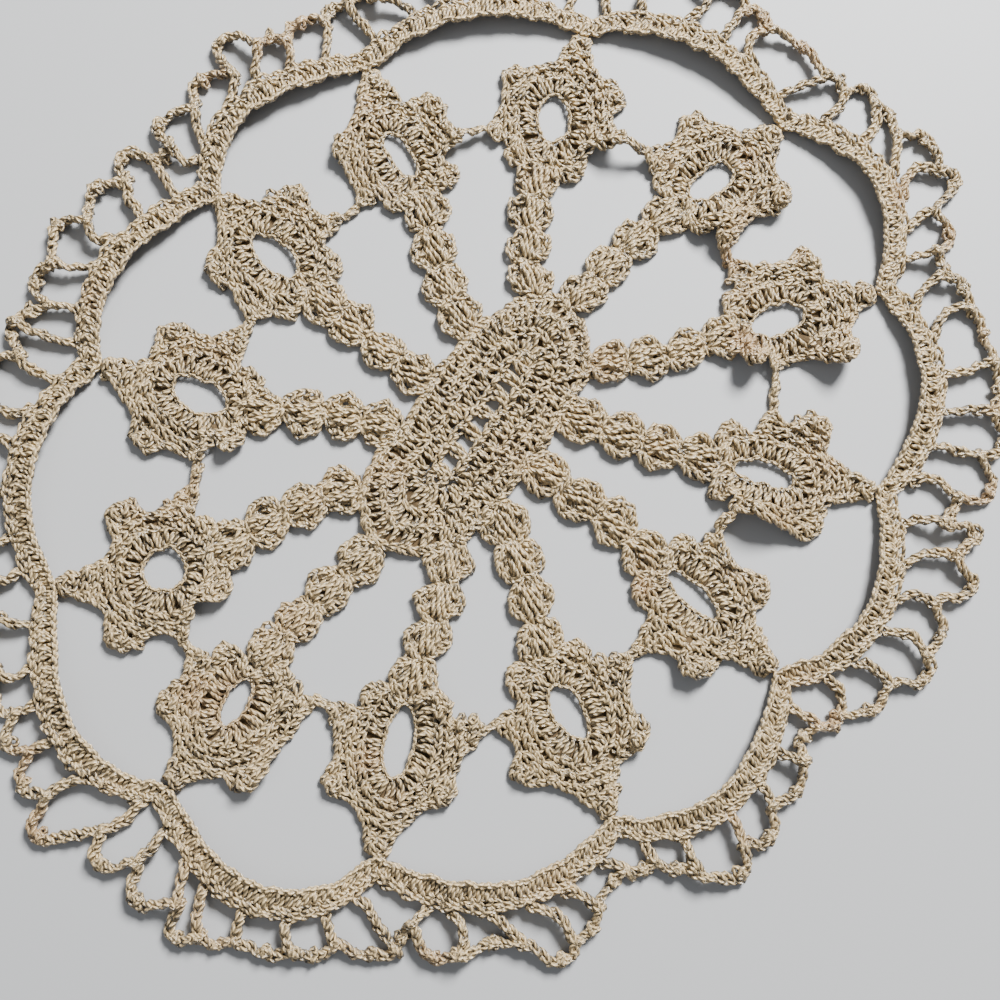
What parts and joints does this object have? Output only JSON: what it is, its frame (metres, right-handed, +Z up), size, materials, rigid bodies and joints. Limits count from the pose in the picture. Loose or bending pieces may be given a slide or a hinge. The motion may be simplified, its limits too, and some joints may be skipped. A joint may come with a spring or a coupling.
{
  "type": "lace doily",
  "caption": "Oval crochet lace doily laid flat: laddered centre, scalloped spokes, star motifs round oval eyes, an arched rim and a looped picot edging.",
  "frame": {"origin": "on the table, under the middle of the lace's outline", "axes": "+X along the long axis of the oval and of the centre's ladder, +Y across it, +Z up out of the table; the right side of the lace faces +Z"},
  "size_m": [0.2844, 0.2442, 0.0067],
  "materials": {
    "crochet_cotton": "matt ecru crochet cotton"
  },
  "bodies": {
    "root": {"centre": "crochet_cotton", "spoke_01": "crochet_cotton", "spoke_02": "crochet_cotton", "spoke_03": "crochet_cotton", "spoke_04": "crochet_cotton", "spoke_05": "crochet_cotton", "spoke_06": "crochet_cotton", "spoke_07": "crochet_cotton", "spoke_08": "crochet_cotton", "spoke_09": "crochet_cotton", "spoke_10": "crochet_cotton", "spoke_11": "crochet_cotton", "spoke_12": "crochet_cotton", "star_01": "crochet_cotton", "star_02": "crochet_cotton", "star_03": "crochet_cotton", "star_04": "crochet_cotton", "star_05": "crochet_cotton", "star_06": "crochet_cotton", "star_07": "crochet_cotton", "star_08": "crochet_cotton", "star_09": "crochet_cotton", "star_10": "crochet_cotton", "star_11": "crochet_cotton", "star_12": "crochet_cotton", "rim": "crochet_cotton", "edging": "crochet_cotton"}
  },
  "joints": []
}
